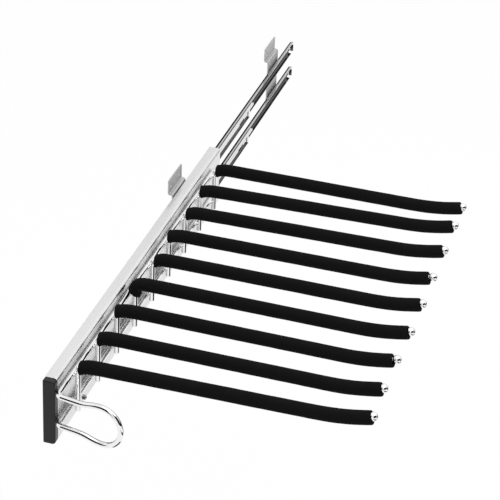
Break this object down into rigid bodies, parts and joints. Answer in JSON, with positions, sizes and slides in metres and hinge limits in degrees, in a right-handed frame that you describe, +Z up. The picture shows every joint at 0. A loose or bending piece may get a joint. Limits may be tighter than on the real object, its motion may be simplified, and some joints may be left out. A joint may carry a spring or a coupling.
{
  "type": "extendable trouser hanger",
  "caption": "Side-mounted pull-out trouser hanger: a polished channel on ball slides carries upturned wire arms in black foam sleeves, with a wire loop handle and sheet-metal wall brackets.",
  "frame": {"origin": "middle of the front bracket's wall face", "axes": "+X from the wardrobe's side wall to the arms, +Y into the wardrobe, +Z up; the rack is stored partly pulled out, as pictured"},
  "size_m": [0.3041, 0.8201, 0.0861],
  "materials": {
    "zinc_steel": "zinc plated, satin",
    "slide_steel": "bright zinc plated",
    "polished_metal": "polished",
    "chrome": "mirror",
    "black_plastic": "fine grain",
    "pale_plastic": "plain",
    "black_foam": "matte foam"
  },
  "bodies": {
    "wall_side": {"bracket_front": "zinc_steel", "bracket_rear": "zinc_steel", "outer_rail_upper": "slide_steel", "outer_rail_lower": "slide_steel", "rail_rivet_upper_front": "slide_steel", "rail_rivet_upper_rear": "slide_steel", "rail_rivet_lower_front": "slide_steel", "rail_rivet_lower_rear": "slide_steel"},
    "middle_slide": {"middle_member_upper": "slide_steel", "middle_member_lower": "slide_steel", "slide_bumper_upper": "pale_plastic", "slide_bumper_lower": "pale_plastic"},
    "outer_cages": {"outer_cage_upper": "slide_steel", "outer_cage_lower": "slide_steel"},
    "inner_cages": {"inner_cage_upper": "slide_steel", "inner_cage_lower": "slide_steel"},
    "carrier": {"carrier_profile": "polished_metal", "front_cap": "black_plastic", "carrier_screw": "slide_steel", "wire_frame": "chrome", "inner_rail_upper": "slide_steel", "inner_rail_lower": "slide_steel", "inner_rivet_upper_1": "slide_steel", "inner_rivet_upper_2": "slide_steel", "inner_rivet_lower_1": "slide_steel", "inner_rivet_lower_2": "slide_steel", "arm_wire_1": "chrome", "arm_wire_2": "chrome", "arm_wire_3": "chrome", "arm_wire_4": "chrome", "arm_wire_5": "chrome", "arm_wire_6": "chrome", "arm_wire_7": "chrome", "arm_wire_8": "chrome", "arm_wire_9": "chrome", "foam_sleeve_1": "black_foam", "foam_sleeve_2": "black_foam", "foam_sleeve_3": "black_foam", "foam_sleeve_4": "black_foam", "foam_sleeve_5": "black_foam", "foam_sleeve_6": "black_foam", "foam_sleeve_7": "black_foam", "foam_sleeve_8": "black_foam", "foam_sleeve_9": "black_foam", "tip_ball_1": "chrome", "tip_ball_2": "chrome", "tip_ball_3": "chrome", "tip_ball_4": "chrome", "tip_ball_5": "chrome", "tip_ball_6": "chrome", "tip_ball_7": "chrome", "tip_ball_8": "chrome", "tip_ball_9": "chrome"}
  },
  "joints": [
    {"name": "carrier_pull", "type": "slide", "parent": "wall_side", "child": "carrier", "axis": [0, -1, 0], "range_m": [-0.305, 0.145]},
    {"name": "middle_pull", "type": "slide", "parent": "wall_side", "child": "middle_slide", "axis": [0, -1, 0], "range_m": [-0.1525, 0.0725]},
    {"name": "outer_cage_roll", "type": "slide", "parent": "wall_side", "child": "outer_cages", "axis": [0, -1, 0], "range_m": [-0.07625, 0.03625]},
    {"name": "inner_cage_roll", "type": "slide", "parent": "wall_side", "child": "inner_cages", "axis": [0, -1, 0], "range_m": [-0.22875, 0.10875]}
  ],
  "couplings": [
    {"joint": "middle_pull", "follows": "carrier_pull", "ratio": 0.5},
    {"joint": "outer_cage_roll", "follows": "carrier_pull", "ratio": 0.25},
    {"joint": "inner_cage_roll", "follows": "carrier_pull", "ratio": 0.75}
  ]
}
